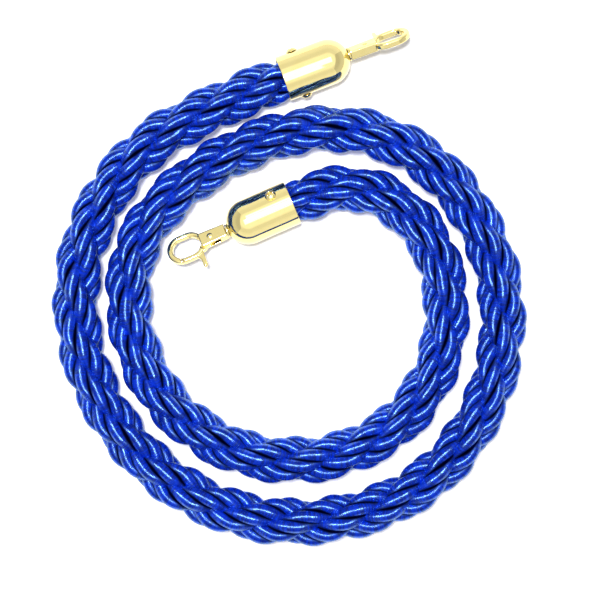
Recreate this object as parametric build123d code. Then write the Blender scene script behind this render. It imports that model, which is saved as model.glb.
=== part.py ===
from build123d import *

import os
from math import asin, cos, degrees, hypot, pi, radians, sin, tan

# Twisted barrier rope with a domed end cap and a swivel snap hook on each end.
# The rope lies flat in a loose spiral of about two turns. Z is up, the floor is z = 0,
# and the origin is on the floor, midway between the two sets of end fittings.

# Rope, in millimetres.
ROPE_DIAMETER = 32.0
ROPE_END_SHORT_OF_DOME = 3.5  # the squeezed end stops this far before a cap's dome
NECK_LENGTH = 12.0  # taper outside the mouth of a cap
NECK_CLEARANCE = 0.3  # between the rope and the mouth of a cap
NECK_CUT_MARGIN = 0.4  # how far the taper's cutting ring stands outside the rope
TAPE_THICKNESS = 0.4
TAPE_CLEARANCE = 0.4  # between the binding tape and the bore of a cap
TAPE_START = 3.0
TAPE_LENGTH = 22.0

# End cap: a straight sleeve with a half-round dome.
CAP_DIAMETER = 30.0
CAP_WALL = 1.5
CAP_SLEEVE_LENGTH = 31.5
CAP_SEAT_CUT = 0.4  # flat cut off the tip of the dome, under the collar
CAP_TIP_WALL = 3.8  # metal between the outer and the inner seat at the tip
CAP_LIP_RADIUS = 0.5

# Two round-headed cross-recess screws that pin the rope in each cap.
SCREW_FROM_MOUTH = 11.5
SCREW_HEAD_DIAMETER = 7.6
SCREW_HEAD_HEIGHT = 2.4
SCREW_DIAMETER = 3.5
SCREW_REACH = 7.5  # from the face of the cap inwards
SCREW_HOLE_CLEARANCE = 0.05
RECESS_WIDTH = 0.9
RECESS_SPAN = 4.4
RECESS_DEPTH = 1.3

# Swivel stud, its nut and washer inside the dome, and the collar outside.
STUD_DIAMETER = 5.0
STUD_HOLE_CLEARANCE = 0.1
NUT_ACROSS_FLATS = 8.0
NUT_THICKNESS = 4.0
WASHER_DIAMETER = 11.0
WASHER_THICKNESS = 0.8
STUD_PAST_NUT = 1.2
COLLAR_DIAMETER = 9.2
COLLAR_THICKNESS = 1.0
SWIVEL_NECK_DIAMETER = 3.2
SWIVEL_CLEARANCE = 0.05
SWIVEL_END_PLAY = 0.3
SWIVEL_HEAD_DIAMETER = 4.4
SWIVEL_HEAD_THICKNESS = 1.2

# Hook body: a flat case with a slot for the gate, measured from its rear face.
BODY_LENGTH = 18.3
BODY_REAR_WIDTH = 9.2
BODY_FRONT_WIDTH = 10.2
BODY_CORNER_RADIUS = 1.2
BODY_THICKNESS = 6.4
BODY_EDGE_RADIUS = 0.9
BODY_REAR_WALL = 2.2
CHAMBER_CLEARANCE = 0.3  # round the stud's head
CHAMBER_SPARE_LENGTH = 1.5  # past the stud's head
PIVOT_FROM_REAR = 11.0
SLOT_BACK_WALL = 1.4

# Eye of the hook: an oval ring that the fixed jaw and the gate make together.
EYE_WIDTH = 13.4
EYE_LENGTH = 18.8
RING_WALL = 3.3
RING_NOSE_WALL = 3.8
RING_THICKNESS = 4.6
RING_EDGE_RADIUS = 1.3
EYE_PAST_CASE = 0.4  # from the front of the case to the near end of the eye
JAW_TIP_BEFORE_EYE_END = 2.25

# Gate with its thumb lever, turning on a rivet.
GATE_TIP_CLEARANCE = 0.25
GATE_SHOULDER_CLEARANCE = 0.1  # past the sharp corner of the case, which is rounded
TONGUE_THICKNESS = 3.0
TONGUE_CLEARANCE = 0.3  # each side, in the slot of the case
HUB_WALL = 0.5  # round the spring's pocket
LEVER_REACH = 16.8  # from the swivel axis to the middle of the round lever tip
LEVER_PAST_EYE_START = 1.9
LEVER_TIP_DIAMETER = 3.2
LEVER_ROOT_WIDTH = 5.0
LEVER_WAIST_WIDTH = 2.6
RIVET_DIAMETER = 2.6
RIVET_CLEARANCE = 0.05
RIVET_HEAD_DIAMETER = 4.2
RIVET_HEAD_HEIGHT = 0.7

# Torsion spring in a pocket of the gate's hub.
SPRING_WIRE_DIAMETER = 0.5
SPRING_COIL_CLEARANCE = 0.45  # between the coil and the rivet
SPRING_TURNS = 2
SPRING_PITCH = 0.6
SPRING_POCKET_CLEARANCE = 0.35
SPRING_POCKET_DEPTH = 2.0
SPRING_LEG_LENGTH = 4.2

# Where the two caps lie: the middle of the mouth and the heading from rope to hook.
OUTER_MOUTH = (-3.8, 44.43)
OUTER_HEADING = 20.5
OUTER_SCREW_ANGLE = 12.0  # of the first screw, up from the side the gate is on
INNER_MOUTH = (2.4, -36.6)
INNER_HEADING = 203.5
INNER_HOOK_ROLL = 25.0  # gate side raised
INNER_SCREW_ANGLE = 127.0

# Route of the rope between the mouths, as corner points on the floor plan.
FIRST_RUN = 48.0
LAST_RUN = 20.0
ROUTE_POINTS = [
    (-103, -4),
    (-136, -58),
    (-142, -118),
    (-122, -174),
    (-82, -220),
    (-27, -246),
    (33, -247),
    (88, -226),
    (127, -180),
    (143, -125),
    (136, -68),
    (104, -16),
    (54, 13),
    (-6, 11),
    (-65, -19),
    (-103, -62),
    (-107, -118),
    (-83, -170),
    (-36, -203),
    (22, -208),
    (70, -187),
    (98, -149),
    (105, -110),
    (101, -81),
    (91, -57),
    (73, -38),
    (48, -26),
]
ARC_SHARE = 0.45  # of the shorter run, taken by each arc

# Worked out from the sizes above. All x values are along an end's swivel axis.
AXIS_HEIGHT = max(ROPE_DIAMETER, CAP_DIAMETER) / 2
CAP_RADIUS = CAP_DIAMETER / 2
CAP_BORE_RADIUS = CAP_RADIUS - CAP_WALL
NECK_MOUTH_RADIUS = CAP_BORE_RADIUS - NECK_CLEARANCE
ROPE_END_DIAMETER = 2 * (CAP_BORE_RADIUS - TAPE_CLEARANCE - TAPE_THICKNESS)
ROPE_END_DEPTH = CAP_SLEEVE_LENGTH - ROPE_END_SHORT_OF_DOME
CAP_SEAT_X = CAP_SLEEVE_LENGTH + CAP_RADIUS - CAP_SEAT_CUT
CAP_INNER_SEAT_X = CAP_SEAT_X - CAP_TIP_WALL
COLLAR_FACE_X = CAP_SEAT_X + COLLAR_THICKNESS
HOOK_REAR_X = COLLAR_FACE_X + SWIVEL_END_PLAY
CHAMBER_DIAMETER = SWIVEL_HEAD_DIAMETER + 2 * CHAMBER_CLEARANCE
CHAMBER_LENGTH = SWIVEL_END_PLAY + SWIVEL_HEAD_THICKNESS + CHAMBER_SPARE_LENGTH
PIVOT_X = HOOK_REAR_X + PIVOT_FROM_REAR
EYE_FROM_PIVOT = BODY_LENGTH - PIVOT_FROM_REAR + EYE_PAST_CASE
EYE_START_X = PIVOT_X + EYE_FROM_PIVOT
EYE_END_X = EYE_START_X + EYE_LENGTH
BODY_FRONT_REACH = hypot(BODY_LENGTH - PIVOT_FROM_REAR, BODY_FRONT_WIDTH / 2)
GATE_SHOULDER = BODY_FRONT_REACH + GATE_SHOULDER_CLEARANCE
JAW_REACH = EYE_FROM_PIVOT + EYE_LENGTH - JAW_TIP_BEFORE_EYE_END
GATE_REACH = JAW_REACH - GATE_TIP_CLEARANCE
LEVER_FORWARD = EYE_FROM_PIVOT + LEVER_PAST_EYE_START
SLOT_WIDTH = TONGUE_THICKNESS + 2 * TONGUE_CLEARANCE
SPRING_COIL_DIAMETER = RIVET_DIAMETER + 2 * SPRING_COIL_CLEARANCE + SPRING_WIRE_DIAMETER
SPRING_OUTER_DIAMETER = SPRING_COIL_DIAMETER + SPRING_WIRE_DIAMETER
SPRING_POCKET_DIAMETER = SPRING_OUTER_DIAMETER + 2 * SPRING_POCKET_CLEARANCE
HUB_DIAMETER = SPRING_POCKET_DIAMETER + 2 * HUB_WALL
# The outer hook's thumb lever rests on the floor, or hangs straight down if it is too short.
LEVER_DROP = min(AXIS_HEIGHT - LEVER_TIP_DIAMETER / 2, LEVER_REACH)
OUTER_HOOK_ROLL = -degrees(asin(LEVER_DROP / LEVER_REACH))


def rod(diameter, start, end):
    """A cylinder along the swivel axis from start to end."""
    middle = (start + end) / 2
    return Pos(middle, 0, 0) * Rot(0, 90, 0) * Cylinder(diameter / 2, end - start)


def plate(outline, thickness):
    """A flat outline in the hook's plane, thickened evenly to both sides."""
    return extrude(outline, amount=thickness / 2, both=True)


def disc_at_pivot(radius):
    return Pos(PIVOT_X, 0) * Circle(radius)


def screw_places(first_angle):
    """The two opposite screw places on a cap: local Z points out of the cap."""
    for angle in (first_angle, first_angle + 180):
        yield Pos(SCREW_FROM_MOUTH, 0, 0) * Rot(angle - 90, 0, 0) * Pos(0, 0, CAP_RADIUS)


def screw_shanks(first_angle, diameter):
    shank = Pos(0, 0, -SCREW_REACH / 2) * Cylinder(diameter / 2, SCREW_REACH)
    return [place * shank for place in screw_places(first_angle)]


def make_cap(first_angle):
    """Pressed metal cap: sleeve, dome, flat seats at the tip, stud and screw holes."""
    shell = rod(CAP_DIAMETER, 0, CAP_SLEEVE_LENGTH)
    shell += Pos(CAP_SLEEVE_LENGTH, 0, 0) * Sphere(CAP_RADIUS)
    shell &= rod(2 * CAP_DIAMETER, 0, CAP_SEAT_X)
    shell = fillet(shell.edges().group_by(Axis.X)[0], CAP_LIP_RADIUS)
    bore = rod(2 * CAP_BORE_RADIUS, -1, CAP_SLEEVE_LENGTH)
    bore += Pos(CAP_SLEEVE_LENGTH, 0, 0) * Sphere(CAP_BORE_RADIUS)
    bore &= rod(2 * CAP_DIAMETER, -1, CAP_INNER_SEAT_X)
    shell -= bore
    shell -= rod(STUD_DIAMETER + 2 * STUD_HOLE_CLEARANCE, CAP_BORE_RADIUS, CAP_SEAT_X + 1)
    for hole in screw_shanks(first_angle, SCREW_DIAMETER + 2 * SCREW_HOLE_CLEARANCE):
        shell -= hole
    return shell


def make_screw(place):
    """Dome-headed screw with a cross recess; its shank bites into the rope end."""
    head_radius = SCREW_HEAD_DIAMETER / 2
    dome_radius = (head_radius**2 + SCREW_HEAD_HEIGHT**2) / (2 * SCREW_HEAD_HEIGHT)
    head = Pos(0, 0, SCREW_HEAD_HEIGHT - dome_radius) * Sphere(dome_radius)
    head &= Pos(0, 0, SCREW_HEAD_HEIGHT / 2) * Cylinder(head_radius + 1, SCREW_HEAD_HEIGHT)
    for turn in (0, 90):
        slot = Box(RECESS_SPAN, RECESS_WIDTH, 2 * RECESS_DEPTH)
        head -= Pos(0, 0, SCREW_HEAD_HEIGHT) * Rot(0, 0, turn) * slot
    shank = Pos(0, 0, -SCREW_REACH / 2) * Cylinder(SCREW_DIAMETER / 2, SCREW_REACH)
    return place * (head + shank)


def make_tape(first_angle):
    """Binding tape wound round the squeezed rope end."""
    outer = rod(ROPE_END_DIAMETER + 2 * TAPE_THICKNESS, TAPE_START, TAPE_START + TAPE_LENGTH)
    band = outer - rod(ROPE_END_DIAMETER, 0, ROPE_END_DEPTH + 1)
    for hole in screw_shanks(first_angle, SCREW_DIAMETER + 2 * SCREW_HOLE_CLEARANCE):
        band -= hole
    return band


def make_stud():
    """Stepped stud: threaded shank in the cap, thin neck and peened head in the hook."""
    shank_start = CAP_INNER_SEAT_X - WASHER_THICKNESS - NUT_THICKNESS - STUD_PAST_NUT
    head_start = HOOK_REAR_X + BODY_REAR_WALL + SWIVEL_END_PLAY
    stud = rod(STUD_DIAMETER, shank_start, COLLAR_FACE_X)
    stud += rod(SWIVEL_NECK_DIAMETER, COLLAR_FACE_X, head_start)
    stud += rod(SWIVEL_HEAD_DIAMETER, head_start, head_start + SWIVEL_HEAD_THICKNESS)
    return stud


def make_ring_on_stud(outer_diameter, start, end):
    return rod(outer_diameter, start, end) - rod(STUD_DIAMETER, start - 1, end + 1)


def make_nut():
    end = CAP_INNER_SEAT_X - WASHER_THICKNESS
    hexagon = RegularPolygon(NUT_ACROSS_FLATS / 2, 6, major_radius=False)
    nut = Pos(end, 0, 0) * Rot(0, -90, 0) * extrude(hexagon, amount=NUT_THICKNESS)
    return nut - rod(STUD_DIAMETER, end - NUT_THICKNESS - 1, end + 1)


def eye_outline():
    middle = (EYE_START_X + EYE_END_X) / 2
    return Pos(middle, 0) * SlotCenterToCenter(EYE_LENGTH - EYE_WIDTH, EYE_WIDTH)


def ring_outline():
    """The whole oval ring, walls RING_WALL wide at the sides and more at the nose."""
    width = EYE_WIDTH + 2 * RING_WALL
    start = EYE_START_X - RING_WALL
    end = EYE_END_X + RING_NOSE_WALL
    oval = Pos((start + end) / 2, 0) * SlotCenterToCenter(end - start - width, width)
    return oval - eye_outline()


def half_plane(side):
    """A big square on one side of the swivel axis: +1 is the gate's side."""
    size = 4 * EYE_LENGTH
    return Pos(EYE_START_X, side * size / 2) * Rectangle(size, size)


def round_plate_edges(solid, thickness, radius):
    faces = solid.faces().sort_by(Axis.Z)
    return fillet(faces[0].edges() + faces[-1].edges(), min(radius, 0.45 * thickness))


def make_hook_body():
    """Cast case and fixed jaw in one piece, slotted for the gate."""
    rear, front = HOOK_REAR_X, HOOK_REAR_X + BODY_LENGTH
    half_rear, half_front = BODY_REAR_WIDTH / 2, BODY_FRONT_WIDTH / 2
    case = Polygon(
        (rear, -half_rear), (front, -half_front), (front, half_front), (rear, half_rear), align=None
    )
    case = fillet(case.vertices().sort_by(Axis.X)[-2:], BODY_CORNER_RADIUS)
    case = round_plate_edges(plate(case, BODY_THICKNESS), BODY_THICKNESS, BODY_EDGE_RADIUS)
    jaw = ring_outline() - (half_plane(1) & disc_at_pivot(JAW_REACH))
    jaw = round_plate_edges(plate(jaw, RING_THICKNESS), RING_THICKNESS, RING_EDGE_RADIUS)
    body = case + jaw
    slot_start = rear + BODY_REAR_WALL + CHAMBER_LENGTH
    slot_back = -half_front + SLOT_BACK_WALL
    slot_end = PIVOT_X + GATE_SHOULDER + 1
    slot = Pos((slot_start + slot_end) / 2, slot_back + EYE_WIDTH / 2, 0)
    slot *= Box(slot_end - slot_start, EYE_WIDTH, SLOT_WIDTH)
    body -= slot
    body -= rod(CHAMBER_DIAMETER, rear + BODY_REAR_WALL, slot_start + 1)
    body -= rod(SWIVEL_NECK_DIAMETER + 2 * SWIVEL_CLEARANCE, rear - 1, slot_start)
    body -= Pos(PIVOT_X, 0, 0) * Cylinder(RIVET_DIAMETER / 2, 2 * BODY_THICKNESS)
    return body


def make_gate():
    """Gate: half of the ring, a tongue into the slot, a hub and a thumb lever."""
    band = ring_outline() & half_plane(1) & disc_at_pivot(GATE_REACH)
    band -= disc_at_pivot(GATE_SHOULDER)
    band = round_plate_edges(plate(band, RING_THICKNESS), RING_THICKNESS, RING_EDGE_RADIUS)
    shoulder_x, shoulder_y = PIVOT_X + EYE_FROM_PIVOT, EYE_WIDTH / 2
    tongue = Polygon(
        (PIVOT_X + 1, -HUB_DIAMETER / 2 + 0.6),
        (shoulder_x + 1.5, shoulder_y - 2.6),
        (shoulder_x + 2.2, shoulder_y + 0.6),
        (shoulder_x - 1.2, shoulder_y + 0.6),
        (PIVOT_X - 1, HUB_DIAMETER / 2 - 0.4),
        align=None,
    )
    tongue = plate(tongue + disc_at_pivot(HUB_DIAMETER / 2), TONGUE_THICKNESS)
    tip_x, tip_radius = PIVOT_X + LEVER_FORWARD, LEVER_TIP_DIAMETER / 2
    root_y, waist_y = EYE_WIDTH / 2 + RING_WALL - 1.6, EYE_WIDTH / 2 + RING_WALL + 2.4
    waist = LEVER_WAIST_WIDTH / 2
    lever = Polygon(
        (tip_x - LEVER_ROOT_WIDTH / 2 + 0.6, root_y - 0.8),
        (tip_x + LEVER_ROOT_WIDTH / 2 + 1.4, root_y),
        (tip_x + waist, waist_y),
        (tip_x + 0.9 * tip_radius, LEVER_REACH),
        (tip_x - 0.9 * tip_radius, LEVER_REACH),
        (tip_x - waist - 0.4, waist_y),
        align=None,
    )
    lever = round_plate_edges(plate(lever, LEVER_TIP_DIAMETER * 0.94), LEVER_TIP_DIAMETER, 0.8)
    gate = band + tongue + lever + Pos(tip_x, LEVER_REACH, 0) * Sphere(tip_radius)
    pocket_floor = TONGUE_THICKNESS / 2 - SPRING_POCKET_DEPTH
    pocket_height = 2 * SPRING_POCKET_DEPTH
    pocket = Cylinder(SPRING_POCKET_DIAMETER / 2, pocket_height)
    way_out = Pos(-HUB_DIAMETER / 2 - 0.1, 0, 0) * Box(HUB_DIAMETER, 2 * HUB_DIAMETER, pocket_height)
    gate -= Pos(PIVOT_X, 0, pocket_floor + pocket_height / 2) * (pocket + way_out)
    gate -= Pos(PIVOT_X, 0, 0) * Cylinder(RIVET_DIAMETER / 2 + RIVET_CLEARANCE, RING_THICKNESS)
    return gate


def make_rivet():
    """Gate pivot: a pin through both cheeks of the case with a domed head each side."""
    head_radius = RIVET_HEAD_DIAMETER / 2
    dome_radius = (head_radius**2 + RIVET_HEAD_HEIGHT**2) / (2 * RIVET_HEAD_HEIGHT)
    head = Pos(0, 0, RIVET_HEAD_HEIGHT - dome_radius) * Sphere(dome_radius)
    head &= Pos(0, 0, RIVET_HEAD_HEIGHT / 2) * Cylinder(RIVET_HEAD_DIAMETER, RIVET_HEAD_HEIGHT)
    rivet = Cylinder(RIVET_DIAMETER / 2, BODY_THICKNESS)
    rivet += Pos(0, 0, BODY_THICKNESS / 2) * head
    rivet += Rot(180, 0, 0) * Pos(0, 0, BODY_THICKNESS / 2) * head
    return Pos(PIVOT_X, 0, 0) * rivet


def make_spring():
    """Torsion coil round the rivet with one leg back into the case."""
    radius = SPRING_COIL_DIAMETER / 2
    height = SPRING_PITCH * SPRING_TURNS
    first_z = TONGUE_THICKNESS / 2 - SPRING_POCKET_DEPTH + SPRING_WIRE_DIAMETER
    coil_path = Helix(SPRING_PITCH, height, radius)
    coil = sweep(Plane(coil_path @ 0, z_dir=coil_path % 0) * Circle(SPRING_WIRE_DIAMETER / 2), coil_path)
    leg = Rot(90, 0, 0) * Cylinder(SPRING_WIRE_DIAMETER / 2, SPRING_LEG_LENGTH)
    coil += Pos(radius, -SPRING_LEG_LENGTH / 2, 0) * leg
    return Pos(PIVOT_X, 0, first_z) * Rot(0, 0, -90) * coil


def end_place(mouth, heading):
    """Local X runs from the mouth of the cap towards the hook, local Z is up."""
    return Pos(mouth[0], mouth[1], AXIS_HEIGHT) * Rot(0, 0, heading)


def make_route():
    """Corner points of the rope's middle line, from mouth to mouth, with arc radii."""
    points = []
    for (x, y), heading, run in (
        (OUTER_MOUTH, OUTER_HEADING, FIRST_RUN),
        (INNER_MOUTH, INNER_HEADING, LAST_RUN),
    ):
        mouth = Vector(x, y, AXIS_HEIGHT)
        way_out = Vector(-cos(radians(heading)), -sin(radians(heading)), 0)
        points.append((mouth, mouth + way_out * run))
    (start, after_start), (end, before_end) = points
    middle = [Vector(x, y, AXIS_HEIGHT) for x, y in ROUTE_POINTS]
    corners = [start, after_start, *middle, before_end, end]
    radii = []
    for before, corner, after in zip(corners, corners[1:], corners[2:]):
        turn = (corner - before).get_angle(after - corner)
        shorter = min((corner - before).length, (after - corner).length)
        radii.append(ARC_SHARE * shorter / tan(radians(turn / 2)))
    return corners, radii


def make_rope():
    """Plain tube along the route, tapering to a squeezed end inside each cap."""
    corners, radii = make_route()
    path = FilletPolyline(*corners, radius=radii)
    section = Plane(path @ 0, z_dir=path % 0) * Circle(ROPE_DIAMETER / 2)
    tube = sweep(section, path)
    expected = pi * ROPE_DIAMETER**2 / 4 * path.length
    print("rope length between the caps", round(path.length, 1))
    print("arc radii", [round(radius) for radius in radii])
    print("volume over section times length", round(tube.volume / expected, 4))
    cut_radius = ROPE_DIAMETER / 2 + NECK_CUT_MARGIN
    neck_profile = Polygon(
        (-NECK_LENGTH, ROPE_DIAMETER / 2),
        (0, NECK_MOUTH_RADIUS),
        (0, cut_radius),
        (-NECK_LENGTH, cut_radius),
        align=None,
    )
    neck_cut = revolve(neck_profile, Axis.X)
    ends = (
        (OUTER_MOUTH, OUTER_HEADING, OUTER_SCREW_ANGLE),
        (INNER_MOUTH, INNER_HEADING, INNER_SCREW_ANGLE),
    )
    for mouth, heading, screw_angle in ends:
        place = end_place(mouth, heading)
        end = rod(ROPE_END_DIAMETER, 0, ROPE_END_DEPTH)
        for hole in screw_shanks(screw_angle, SCREW_DIAMETER):
            end -= hole
        tube -= place * neck_cut
        tube += place * end
    return tube


def make_end(side, mouth, heading, screw_angle, hook_roll):
    """Every piece of one end of the rope, by node name."""
    place = end_place(mouth, heading)
    hook_place = place * Rot(hook_roll, 0, 0)
    washer_end = CAP_INNER_SEAT_X
    first_screw, second_screw = [make_screw(spot) for spot in screw_places(screw_angle)]
    fixed = {
        "end_cap": make_cap(screw_angle),
        "cap_screw_1": first_screw,
        "cap_screw_2": second_screw,
        "rope_end_tape": make_tape(screw_angle),
        "swivel_stud": make_stud(),
        "stud_nut": make_nut(),
        "stud_washer": make_ring_on_stud(
            WASHER_DIAMETER, washer_end - WASHER_THICKNESS, washer_end
        ),
        "swivel_collar": make_ring_on_stud(COLLAR_DIAMETER, CAP_SEAT_X, COLLAR_FACE_X),
    }
    turning = {
        "hook_body": make_hook_body(),
        "hook_gate": make_gate(),
        "gate_rivet": make_rivet(),
        "gate_spring": make_spring(),
    }
    pieces = {f"{side}_{name}": place * solid for name, solid in fixed.items()}
    pieces |= {f"{side}_{name}": hook_place * solid for name, solid in turning.items()}
    return pieces


os.makedirs("parts", exist_ok=True)
nodes = {"rope": make_rope()}
nodes |= make_end("outer", OUTER_MOUTH, OUTER_HEADING, OUTER_SCREW_ANGLE, OUTER_HOOK_ROLL)
nodes |= make_end("inner", INNER_MOUTH, INNER_HEADING, INNER_SCREW_ANGLE, INNER_HOOK_ROLL)
for name, solid in nodes.items():
    export_step(solid, f"parts/{name}.step")
fittings = Compound([solid for name, solid in nodes.items() if name != "rope"])
box = fittings.bounding_box()
print("outer hook roll", round(OUTER_HOOK_ROLL, 2))
print("fittings from", tuple(box.min), "to", tuple(box.max))
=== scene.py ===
from math import cos, pi, radians, sin, tau

import bmesh
import bpy
import numpy as np
from mathutils import Matrix, Vector


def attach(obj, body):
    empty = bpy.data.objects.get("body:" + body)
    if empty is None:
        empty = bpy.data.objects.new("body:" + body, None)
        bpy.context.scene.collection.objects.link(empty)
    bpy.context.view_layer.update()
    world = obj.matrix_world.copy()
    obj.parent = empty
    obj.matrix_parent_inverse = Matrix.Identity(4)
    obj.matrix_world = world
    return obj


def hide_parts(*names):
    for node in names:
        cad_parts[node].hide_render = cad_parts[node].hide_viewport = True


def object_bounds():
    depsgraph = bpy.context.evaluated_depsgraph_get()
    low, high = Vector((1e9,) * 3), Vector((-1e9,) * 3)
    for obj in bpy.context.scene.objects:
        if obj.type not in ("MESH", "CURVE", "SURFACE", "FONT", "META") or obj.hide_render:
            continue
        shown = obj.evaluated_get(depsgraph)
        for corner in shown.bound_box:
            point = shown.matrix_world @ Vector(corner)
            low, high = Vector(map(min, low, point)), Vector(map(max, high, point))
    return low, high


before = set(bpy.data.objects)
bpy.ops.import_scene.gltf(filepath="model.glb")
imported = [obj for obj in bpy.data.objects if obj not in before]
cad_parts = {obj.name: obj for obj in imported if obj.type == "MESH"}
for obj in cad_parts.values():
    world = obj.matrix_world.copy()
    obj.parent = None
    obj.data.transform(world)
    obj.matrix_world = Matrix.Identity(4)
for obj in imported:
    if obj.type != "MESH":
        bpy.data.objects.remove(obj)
cad_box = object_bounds()

# THE STUDIO
# The rope lies on a plain white table. A camera looks straight down on it. One round lamp
# hangs overhead, a little to the upper left, in a dim room, so that each cord shines in a line.
VIEW_MARGIN = 1.185  # the picture's width, in mean widths of the object
VIEW_SHIFT = (0.010, -0.015)  # in picture widths
LENS = 85
TABLE_WIDTH = 8
TABLE_GLOW = 0.28
LAMP_OFFSET = (-0.10, 0.14)
LAMP_HEIGHT = 1.5
LAMP_WIDTH = 0.26
LAMP_POWER = 28
ROOM_STRENGTH = 0.24
ROOM_STOPS = [  # from straight below to straight above
    (0.00, (1.0, 1.0, 1.0)),
    (0.50, (0.75, 0.76, 0.80)),
    (0.66, (0.55, 0.56, 0.60)),
    (0.76, (0.08, 0.08, 0.10)),
    (0.86, (0.08, 0.08, 0.10)),
    (0.91, (1.1, 1.1, 1.1)),
]

middle = (cad_box[0] + cad_box[1]) / 2
size = cad_box[1] - cad_box[0]
view_width = VIEW_MARGIN * (size.x + size.y) / 2
camera_data = bpy.data.cameras.new("camera")
camera_data.lens = LENS
camera_height = view_width * camera_data.lens / camera_data.sensor_width
camera = bpy.data.objects.new("camera", camera_data)
camera.location = (
    middle.x + VIEW_SHIFT[0] * view_width,
    middle.y + VIEW_SHIFT[1] * view_width,
    middle.z + camera_height,
)
bpy.context.scene.collection.objects.link(camera)
bpy.context.scene.camera = camera
bpy.context.scene.view_settings.view_transform = "Standard"


class Value:
    """A socket in a node tree, so that shader maths reads as plain expressions."""

    def __init__(self, tree, socket):
        self.tree = tree
        self.socket = socket

    def math(self, operation, *inputs):
        return node(self.tree, "ShaderNodeMath", {"operation": operation}, inputs)

    def __add__(self, other):
        return self.math("ADD", self, other)

    def __sub__(self, other):
        return self.math("SUBTRACT", self, other)

    def __rsub__(self, other):
        return self.math("SUBTRACT", other, self)

    def __mul__(self, other):
        return self.math("MULTIPLY", self, other)

    __radd__ = __add__
    __rmul__ = __mul__

    def sin(self):
        return self.math("SINE", self)

    def cos(self):
        return self.math("COSINE", self)

    def clamp(self, low, high):
        return self.math("MINIMUM", self.math("MAXIMUM", self, low), high)


def node(tree, kind, settings=None, inputs=(), output=0):
    """Adds a node. Settings come first, then its sockets by number or by name."""
    made = tree.nodes.new(kind)
    for name, value in (settings or {}).items():
        if name == "stops":
            ramp = made.color_ramp.elements
            while len(ramp) < len(value):
                ramp.new(0.5)
            for stop, (place, colour) in zip(ramp, value):
                stop.position = place
                stop.color = (*colour, 1)
        else:
            setattr(made, name, value)
    pairs = inputs.items() if isinstance(inputs, dict) else enumerate(inputs)
    for name, value in pairs:
        if isinstance(value, Value):
            tree.links.new(value.socket, made.inputs[name])
        else:
            made.inputs[name].default_value = value
    return Value(tree, made.outputs[output])


def colour_mix(tree, factor, first, second):
    """Two colours, or colour sockets, mixed by a value."""
    ends = [end if isinstance(end, Value) else (*end, 1) for end in (first, second)]
    return node(
        tree, "ShaderNodeMix", {"data_type": "RGBA"}, {"Factor": factor, 6: ends[0], 7: ends[1]}, output=2
    )


def object_noise(tree, scale, **more):
    """Noise on the piece's own coordinates, in metres."""
    place = node(tree, "ShaderNodeTexCoord", output="Object")
    return node(tree, "ShaderNodeTexNoise", inputs={"Vector": place, "Scale": scale, **more})


def new_material(name, **constants):
    """A Principled material: returns it, its tree and its shader node."""
    material = bpy.data.materials.new(name)
    material.use_nodes = True
    tree = material.node_tree
    shader = tree.nodes["Principled BSDF"]
    for socket, value in constants.items():
        shader.inputs[socket.replace("_", " ")].default_value = value
    return material, tree, shader


world = bpy.data.worlds.new("studio")
bpy.context.scene.world = world
world.use_nodes = True
sky = world.node_tree
direction = node(sky, "ShaderNodeTexCoord", output="Generated")
upward = node(sky, "ShaderNodeSeparateXYZ", inputs=[direction], output="Z")
room = node(sky, "ShaderNodeValToRGB", {"stops": ROOM_STOPS}, [upward * 0.5 + 0.5])
sky.links.new(room.socket, sky.nodes["Background"].inputs["Color"])
sky.nodes["Background"].inputs["Strength"].default_value = ROOM_STRENGTH

lamp_data = bpy.data.lights.new("overhead", "AREA")
lamp_data.shape = "DISK"
lamp_data.size = LAMP_WIDTH
lamp_data.energy = LAMP_POWER
lamp = bpy.data.objects.new("overhead", lamp_data)
lamp_place = Vector((middle.x + LAMP_OFFSET[0], middle.y + LAMP_OFFSET[1], LAMP_HEIGHT))
lamp.location = lamp_place
lamp.rotation_euler = (middle - lamp_place).to_track_quat("-Z", "Y").to_euler()
bpy.context.scene.collection.objects.link(lamp)

bpy.ops.object.select_all(action="DESELECT")
bpy.ops.mesh.primitive_plane_add(size=TABLE_WIDTH, location=(0, 0, 0))
table = bpy.context.object
table.name = "table"
paper, tree, shader = new_material(
    "paper", Roughness=0.85, Emission_Color=(0.93, 0.93, 1.0, 1), Emission_Strength=TABLE_GLOW
)
tint = node(
    tree, "ShaderNodeValToRGB",
    {"stops": [(0, (0.90, 0.90, 0.92)), (1, (0.94, 0.94, 0.95))]}, [object_noise(tree, 900.0)],
)
tree.links.new(tint.socket, shader.inputs["Base Color"])
table.data.materials.append(paper)

# THE ROPE
# Three strands are laid up left-handed. Each is four cords twisted together the other way,
# and each cord is a cotton core wound with fine blue satin thread, so it shines in a line.
ROPE_HEIGHT = 0.016  # of its middle over the table
OUTER_MOUTH = (-0.0038, 0.04443)
OUTER_HEADING = radians(20.5)
INNER_MOUTH = (0.0024, -0.0366)
INNER_HEADING = radians(203.5)
FIRST_RUN = 0.048
LAST_RUN = 0.020
ROUTE_POINTS = [
    (-0.103, -0.004),
    (-0.136, -0.058),
    (-0.142, -0.118),
    (-0.122, -0.174),
    (-0.082, -0.220),
    (-0.027, -0.246),
    (0.033, -0.247),
    (0.088, -0.226),
    (0.127, -0.180),
    (0.143, -0.125),
    (0.136, -0.068),
    (0.104, -0.016),
    (0.054, 0.013),
    (-0.006, 0.011),
    (-0.065, -0.019),
    (-0.103, -0.062),
    (-0.107, -0.118),
    (-0.083, -0.170),
    (-0.036, -0.203),
    (0.022, -0.208),
    (0.070, -0.187),
    (0.098, -0.149),
    (0.105, -0.110),
    (0.101, -0.081),
    (0.091, -0.057),
    (0.073, -0.038),
    (0.048, -0.026),
]


def heading_point(mouth, heading, distance):
    """A point on an end's axis: positive distances run towards the hook."""
    return (mouth[0] + distance * cos(heading), mouth[1] + distance * sin(heading))


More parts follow.
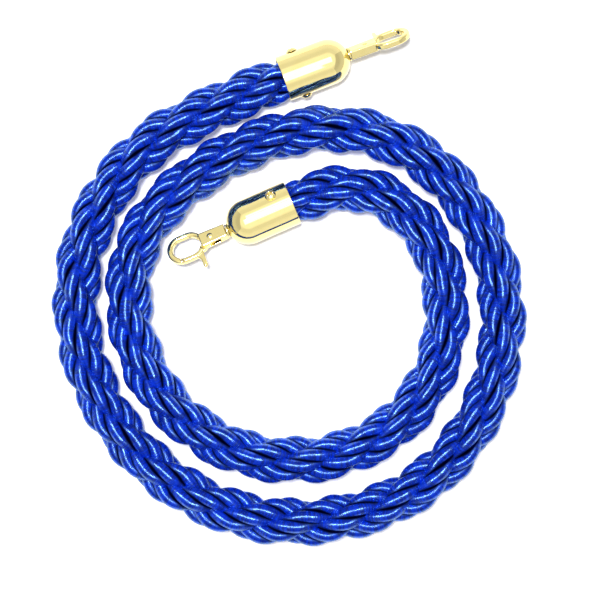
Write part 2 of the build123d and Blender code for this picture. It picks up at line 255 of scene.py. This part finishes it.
route = [
    OUTER_MOUTH,
    heading_point(OUTER_MOUTH, OUTER_HEADING, -FIRST_RUN),
    *ROUTE_POINTS,
    heading_point(INNER_MOUTH, INNER_HEADING, -LAST_RUN),
    INNER_MOUTH,
]
route_curve = bpy.data.curves.new("rope_route", "CURVE")
route_curve.dimensions = "3D"
route_curve.resolution_u = 24
spline = route_curve.splines.new("NURBS")
spline.points.add(len(route) - 1)
for point, (x, y) in zip(spline.points, route):
    point.co = (x, y, ROPE_HEIGHT, 1)
spline.order_u = 3
spline.use_endpoint_u = True
route_object = bpy.data.objects.new("rope_route", route_curve)
bpy.context.scene.collection.objects.link(route_object)
bpy.context.view_layer.update()
line_mesh = bpy.data.meshes.new_from_object(route_object)
line = np.array([vertex.co for vertex in line_mesh.vertices])
bpy.data.objects.remove(route_object)
bpy.data.meshes.remove(line_mesh)

STRAND_COUNT = 3
CORDS_IN_STRAND = 4
STRAND_PITCH = 0.100
STRAND_RADIUS = 0.0073  # from the middle of the rope to the middle of a strand
CORD_RING_RADIUS = 0.0048  # from the middle of a strand to the middle of a cord
CORD_RADIUS = 0.0040
CORD_TWIST = 107.0  # radians per metre, against the lay of the strands
TURN_PER_STRAND = 1.7  # radians, so that the strands' cords don't line up
CORD_SIDES = 16
STEP = 0.0015
INSIDE_CAP = 0.012
NECK_LENGTH = 0.007
NECK_SHARE = 0.83  # of the rope's width, where it is squeezed into a cap
UNEVEN_LAY = (0.05, 0.19)  # each is an amount, and the length of rope that it varies over
UNEVEN_TWIST = (0.10, 0.13)
UNEVEN_RING = (0.03, 0.09)
UNEVEN_CORD = (0.025, 0.07)
WANDER_SHARES = (1.0, 0.55, 0.3)
WANDER_SUM = 1.85
FIRST_SEED = 41

steps_along = np.linalg.norm(np.diff(line, axis=0), axis=1)
route_length = float(steps_along.sum())
along_line = np.concatenate([[0], np.cumsum(steps_along)])
tails = [
    [(*heading_point(OUTER_MOUTH, OUTER_HEADING, INSIDE_CAP), ROPE_HEIGHT)],
    [(*heading_point(INNER_MOUTH, INNER_HEADING, INSIDE_CAP), ROPE_HEIGHT)],
]
whole_line = np.vstack([tails[0], line, tails[1]])
along_whole = np.concatenate([[-INSIDE_CAP], along_line, [route_length + INSIDE_CAP]])
sample_count = int((route_length + 2 * INSIDE_CAP) / STEP)
along = np.linspace(-INSIDE_CAP, route_length + INSIDE_CAP, sample_count)
centre = np.stack([np.interp(along, along_whole, whole_line[:, axis]) for axis in range(3)], 1)


def unit(vectors):
    return vectors / np.linalg.norm(vectors, axis=1, keepdims=True)


def smooth_step(values):
    values = np.clip(values, 0, 1)
    return values * values * (3 - 2 * values)


forward = unit(np.gradient(centre, axis=0))
up = np.tile([0.0, 0.0, 1.0], (sample_count, 1))
sideways = np.cross(up, forward)
from_ends = np.minimum(along, route_length - along)
squeeze = NECK_SHARE + (1 - NECK_SHARE) * smooth_step(from_ends / NECK_LENGTH)


def wander(generator, amount, wavelength):
    """A slow smooth random drift along the rope, the same on every run."""
    drift = np.zeros(sample_count)
    for share in WANDER_SHARES:
        phase = generator.uniform(0, tau)
        drift += share * np.sin(tau * along / (wavelength * share) + phase)
    return amount * drift / WANDER_SUM


def make_strand(index):
    """One strand: four cords round its own middle line, each a closed tube."""
    generator = np.random.default_rng(FIRST_SEED + index)
    lay = tau * index / STRAND_COUNT - tau * along / STRAND_PITCH + wander(generator, *UNEVEN_LAY)
    reach = squeeze * STRAND_RADIUS
    out_x, out_z = np.cos(lay)[:, None], np.sin(lay)[:, None]
    middle_line = centre + reach[:, None] * (out_x * sideways + out_z * up)
    vertices, faces, uvs = [], [], []
    for cord in range(CORDS_IN_STRAND):
        turn = tau * cord / CORDS_IN_STRAND + CORD_TWIST * along + TURN_PER_STRAND * index
        turn = turn + wander(generator, *UNEVEN_TWIST)
        ring = squeeze * CORD_RING_RADIUS * (1 + wander(generator, *UNEVEN_RING))
        outwards = np.cos(turn)[:, None] * sideways + np.sin(turn)[:, None] * up
        cord_line = middle_line + ring[:, None] * outwards
        cord_forward = unit(np.gradient(cord_line, axis=0))
        first = unit(outwards - (outwards * cord_forward).sum(1)[:, None] * cord_forward)
        second = np.cross(cord_forward, first)
        thick = squeeze * CORD_RADIUS * (1 + wander(generator, *UNEVEN_CORD))
        start = len(vertices)
        travelled = np.concatenate([[0], np.cumsum(np.linalg.norm(np.diff(cord_line, axis=0), axis=1))])
        for side in range(CORD_SIDES):
            angle = pi + tau * side / CORD_SIDES
            edge = cord_line + thick[:, None] * (cos(angle) * first + sin(angle) * second)
            vertices.extend(edge)
        for side in range(CORD_SIDES):
            this_row = start + side * sample_count
            next_row = start + (side + 1) % CORD_SIDES * sample_count
            low, high = side / CORD_SIDES, (side + 1) / CORD_SIDES
            for step in range(sample_count - 1):
                faces.append((this_row + step, this_row + step + 1, next_row + step + 1, next_row + step))
                near, far = travelled[step], travelled[step + 1]
                uvs.extend([(near, low), (far, low), (far, high), (near, high)])
        for end, order in ((0, 1), (sample_count - 1, -1)):
            faces.append([start + side * sample_count + end for side in range(CORD_SIDES)][::order])
            uvs.extend([(travelled[end], 0.5)] * CORD_SIDES)
    mesh = bpy.data.meshes.new(f"rope_strand_{index + 1}")
    mesh.from_pydata([tuple(vertex) for vertex in vertices], [], faces)
    layer = mesh.uv_layers.new(name="thread")
    layer.data.foreach_set("uv", np.array(uvs, np.float32).ravel())
    mesh.polygons.foreach_set("use_smooth", [True] * len(mesh.polygons))
    mesh.update()
    strand = bpy.data.objects.new(mesh.name, mesh)
    bpy.context.scene.collection.objects.link(strand)
    return strand


strands = [make_strand(index) for index in range(STRAND_COUNT)]

# Satin thread: the windings lie side by side across each cord, in uneven bundles and in lines
# that go right across. The UV map has metres along the cord, and one turn round it.
SATIN = (0.001, 0.040, 0.80)
SATIN_DEEP = (0.0, 0.008, 0.32)
# Painted shade: the near-black navy painted on the sides of the cords that face into their strands,
# between the cords.
PAINTED_GROOVE_SHADE = (0.0, 0.0004, 0.035)
SHEEN = (0.50, 1.0, 1.0, 1)
THREAD_WIDTH = 0.00042
WINDING_RELIEF = 0.00028
BUNDLES_PER_METRE = 780
LINES_PER_METRE = 1150
BUNDLE_SWIRL = 1.6  # how much the pattern changes round the cord
LINE_SWIRL = 0.45
satin, tree, shader = new_material(
    "blue_satin_thread", Roughness=0.24, IOR=1.9, Specular_IOR_Level=0.9, Specular_Tint=SHEEN
)
place = node(tree, "ShaderNodeUVMap", {"uv_map": "thread"})
length_along = node(tree, "ShaderNodeSeparateXYZ", inputs=[place], output="X")
around = node(tree, "ShaderNodeSeparateXYZ", inputs=[place], output="Y") * tau


def winding_noise(tree, per_metre, swirl, detail):
    """Noise that runs along the cord and changes a little round it, without a seam."""
    spot = node(
        tree, "ShaderNodeCombineXYZ",
        inputs=[length_along * per_metre, around.cos() * swirl, around.sin() * swirl],
    )
    return node(tree, "ShaderNodeTexNoise", inputs={"Vector": spot, "Scale": 1.0, "Detail": detail})


bundles = winding_noise(tree, BUNDLES_PER_METRE, BUNDLE_SWIRL, 2.0)
lines = winding_noise(tree, LINES_PER_METRE, LINE_SWIRL, 1.0)
drift = object_noise(tree, 260.0)
threads = (length_along * (tau / THREAD_WIDTH) + around + drift * 4).sin() * 0.5 + 0.5
height = bundles * 0.45 + lines * 0.33 + threads * 0.22
bump = node(
    tree, "ShaderNodeBump",
    inputs={"Strength": 1.0, "Distance": WINDING_RELIEF, "Height": height, "Filter Width": 0.05},
)
outward = 0.0 - around.cos()  # 1 on the side of a cord that faces out of its strand
# Painted shade: where a cord faces into its strand, between its neighbours, it is painted near-black
# navy. It is made metallic there, so that it reflects only that dark colour.
clear_of_painted_shade = ((outward + 0.04) * 2.0).clamp(0.0, 1.0)
fullness = (lines * 4.6 + drift * 0.3 - 1.95).clamp(0.0, 1.0)
thread_colour_and_painted_shade = colour_mix(tree, clear_of_painted_shade, PAINTED_GROOVE_SHADE, colour_mix(tree, fullness, SATIN_DEEP, SATIN))
tree.links.new(bump.socket, shader.inputs["Normal"])
tree.links.new(thread_colour_and_painted_shade.socket, shader.inputs["Base Color"])
tree.links.new((0.70 - clear_of_painted_shade * 0.38 - lines * 0.14).socket, shader.inputs["Roughness"])
tree.links.new((1.0 - clear_of_painted_shade * 0.72).socket, shader.inputs["Metallic"])
for strand in strands:
    strand.data.materials.append(satin)
    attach(strand, "rope_and_caps")
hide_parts("rope")

# THE END CAPS
# Each end of the rope is pressed into a brass sleeve with a domed end, plated pale gold and
# polished. It reflects a tent of white cards round the table, with a brighter card over it.
CAP_RADIUS = 0.015
CAP_WALL = 0.0015
CAP_SLEEVE = 0.0315
SLEEVE_STEPS = (0.5, 0.48, 0.02)
CAP_SEAT_CUT = 0.0004
RIM_ROUNDING = 0.0005
GOLD = (0.90, 0.75, 0.30)
GOLD_BRIGHT = (0.94, 0.81, 0.37)
ENDS = {"outer": (OUTER_MOUTH, OUTER_HEADING), "inner": (INNER_MOUTH, INNER_HEADING)}

gold, tree, shader = new_material("polished_gold", Metallic=1.0, Roughness=0.1)
smudge = object_noise(tree, 240.0, Detail=4.0)
ripple = node(tree, "ShaderNodeBump", inputs={"Strength": 0.12, "Distance": 0.0001, "Height": smudge})
tree.links.new(colour_mix(tree, smudge, GOLD, GOLD_BRIGHT).socket, shader.inputs["Base Color"])
tree.links.new((smudge * 0.05 + 0.02).socket, shader.inputs["Roughness"])
tree.links.new(ripple.socket, shader.inputs["Normal"])

gilded = bpy.data.collections.new("gilded")


def finished(piece, name, material, slot_name, body, *nodes):
    """Puts a modelled piece into the object: its finish, its body and the CAD nodes it stands for."""
    piece.name = piece.data.name = name
    piece.data.materials.clear()
    piece.data.materials.append(material)
    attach(piece, body)
    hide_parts(*nodes)
    gilded.objects.link(piece)


def apply_modifier(piece, kind, **settings):
    bpy.context.view_layer.objects.active = piece
    modifier = piece.modifiers.new(kind, kind)
    for setting, value in settings.items():
        setattr(modifier, setting, value)
    bpy.ops.object.modifier_apply(modifier=modifier.name)


def make_cap():
    """A half ball whose rim is drawn down into a sleeve, with a flat at the tip and a wall."""
    bpy.ops.object.select_all(action="DESELECT")
    bpy.ops.mesh.primitive_uv_sphere_add(segments=96, ring_count=64, radius=CAP_RADIUS)
    cap = bpy.context.object
    bpy.ops.object.mode_set(mode="EDIT")
    bpy.ops.mesh.select_all(action="SELECT")
    bpy.ops.mesh.bisect(plane_co=(0, 0, 0), plane_no=(0, 0, 1), clear_inner=True)
    bpy.ops.mesh.select_all(action="SELECT")
    seat = CAP_RADIUS - CAP_SEAT_CUT
    bpy.ops.mesh.bisect(plane_co=(0, 0, seat), plane_no=(0, 0, 1), clear_outer=True, use_fill=True)
    bpy.ops.mesh.select_all(action="DESELECT")
    work = bmesh.from_edit_mesh(cap.data)
    for edge in work.edges:
        edge.select = all(abs(vertex.co.z) < 1e-6 for vertex in edge.verts)
    work.select_flush_mode()
    bmesh.update_edit_mesh(cap.data)
    for share in SLEEVE_STEPS:
        bpy.ops.mesh.extrude_region_move(TRANSFORM_OT_translate={"value": (0, 0, -CAP_SLEEVE * share)})
    bpy.ops.mesh.select_all(action="SELECT")
    bpy.ops.mesh.remove_doubles(threshold=1e-6)
    bpy.ops.mesh.normals_make_consistent(inside=False)
    bpy.ops.object.mode_set(mode="OBJECT")
    apply_modifier(cap, "SOLIDIFY", thickness=CAP_WALL, offset=-1)
    apply_modifier(
        cap, "BEVEL", width=RIM_ROUNDING, segments=4, limit_method="ANGLE", angle_limit=radians(50)
    )
    bpy.ops.object.shade_smooth_by_angle(angle=radians(40))
    return cap


for side, (mouth, heading) in ENDS.items():
    cap = make_cap()
    upright = Matrix.Translation((0, 0, CAP_SLEEVE))
    lying = Matrix.Rotation(pi / 2, 4, "Y")
    cap.data.transform(
        Matrix.Translation((*mouth, ROPE_HEIGHT)) @ Matrix.Rotation(heading, 4, "Z") @ lying @ upright
    )
    finished(cap, f"{side}_polished_cap", gold, "polished_gold", "rope_and_caps", f"{side}_end_cap")

TENT_REACH = 0.9
TENT_HEIGHT = 1.1
WALL_GLOW = (0.60, 0.88, 0.60, 0.88)
ROOF_GLOW = 0.95
CARD_SIZES = (0.21, 0.13)
CARD_HEIGHT = 0.30
CARD_GLOW = 1.7
CARD_REACH = 0.030  # from a cap's mouth, towards its hook


def white_card(name, place, sizes, turn, tilt, glow):
    """A glowing card, seen only in the gilded pieces, that faces down or in towards the rope."""
    card = bpy.data.lights.new(name, "AREA")
    card.shape = "RECTANGLE"
    card.size, card.size_y = sizes
    card.energy = pi * sizes[0] * sizes[1] * glow
    facing = Matrix.Rotation(turn, 4, "Z") @ Matrix.Rotation(tilt, 4, "Y")
    hung = bpy.data.objects.new(name, card)
    hung.matrix_world = Matrix.Translation(place) @ facing
    hung.visible_diffuse = False
    hung.visible_camera = False
    hung.light_linking.receiver_collection = gilded
    bpy.context.scene.collection.objects.link(hung)


for side, (mouth, heading) in ENDS.items():
    over = (*heading_point(mouth, heading, CARD_REACH), CARD_HEIGHT)
    white_card(f"{side}_card", over, CARD_SIZES, heading, 0.0, CARD_GLOW)
for index, glow in enumerate(WALL_GLOW):
    turn = tau * index / len(WALL_GLOW)
    wall = (middle.x + TENT_REACH * cos(turn), middle.y + TENT_REACH * sin(turn), TENT_HEIGHT / 2)
    white_card(f"tent_wall_{index + 1}", wall, (TENT_HEIGHT, 2 * TENT_REACH), turn, pi / 2, glow)
roof = (middle.x, middle.y, TENT_HEIGHT)
white_card("tent_roof", roof, (2 * TENT_REACH, 2 * TENT_REACH), 0.0, 0.0, ROOF_GLOW)

# THE SNAP HOOKS, SCREWS AND SWIVELS
# The hooks are die-cast and tumbled, so every edge is soft; screws and rivets are headed
# from wire. Each piece here is a copy of the frame's piece, cast afresh with soft edges.
CAST = {  # the grain it is recast at, the rounds of smoothing, and what it moves with
    "hook_body": (0.00020, 4, "hook"),
    "hook_gate": (0.00016, 4, "gate"),
    "gate_rivet": (0.00010, 2, "hook"),
    "cap_screw_1": (0.00012, 2, None),
    "cap_screw_2": (0.00012, 2, None),
    "swivel_stud": (0.00014, 2, None),
    "swivel_collar": (0.00012, 2, None),
}


def cast_copy(node_name, grain, smoothing):
    """A copy of a CAD piece, merged, recast at a fine grain and smoothed."""
    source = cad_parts[node_name]
    piece = bpy.data.objects.new(node_name, source.data.copy())
    bpy.context.scene.collection.objects.link(piece)
    bpy.ops.object.select_all(action="DESELECT")
    piece.select_set(True)
    bpy.context.view_layer.objects.active = piece
    work = bmesh.new()
    work.from_mesh(piece.data)
    bmesh.ops.remove_doubles(work, verts=work.verts, dist=2e-6)
    work.to_mesh(piece.data)
    work.free()
    apply_modifier(piece, "REMESH", mode="VOXEL", voxel_size=grain, adaptivity=0.0)
    apply_modifier(piece, "SMOOTH", factor=0.5, iterations=smoothing)
    piece.data.polygons.foreach_set("use_smooth", [True] * len(piece.data.polygons))
    return piece


for side in ENDS:
    for part, (grain, smoothing, mover) in CAST.items():
        body = f"{side}_{mover}" if mover else "rope_and_caps"
        piece = cast_copy(f"{side}_{part}", grain, smoothing)
        finished(piece, f"{side}_soft_{part}", gold, "polished_gold", body, f"{side}_{part}")

# INSIDE THE ENDS
# A steel nut and washer hold each swivel stud in its dome, a steel spring shuts each gate, and
# cloth tape binds each cut end of the rope. These are the frame's own pieces, with finishes.
STEEL_TONES = [(0.3, (0.42, 0.42, 0.43)), (0.7, (0.62, 0.62, 0.64))]
TAPE_TONES = [(0.3, (0.05, 0.05, 0.06)), (0.7, (0.12, 0.12, 0.14))]

steel, tree, shader = new_material("plain_steel", Metallic=1.0, Roughness=0.3)
scratches = object_noise(tree, 1800.0)
steel_tone = node(tree, "ShaderNodeValToRGB", {"stops": STEEL_TONES}, [scratches])
tree.links.new(steel_tone.socket, shader.inputs["Base Color"])
tree.links.new((scratches * 0.3 + 0.2).socket, shader.inputs["Roughness"])

cloth, tree, shader = new_material("binding_tape", Roughness=0.8)
tape_tone = node(tree, "ShaderNodeValToRGB", {"stops": TAPE_TONES}, [object_noise(tree, 1500.0)])
tree.links.new(tape_tone.socket, shader.inputs["Base Color"])

INNER_FINISHES = {"stud_nut": steel, "stud_washer": steel, "gate_spring": steel, "rope_end_tape": cloth}
for side in ENDS:
    for part, finish in INNER_FINISHES.items():
        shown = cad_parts[f"{side}_{part}"]
        shown.data.materials.clear()
        shown.data.materials.append(finish)
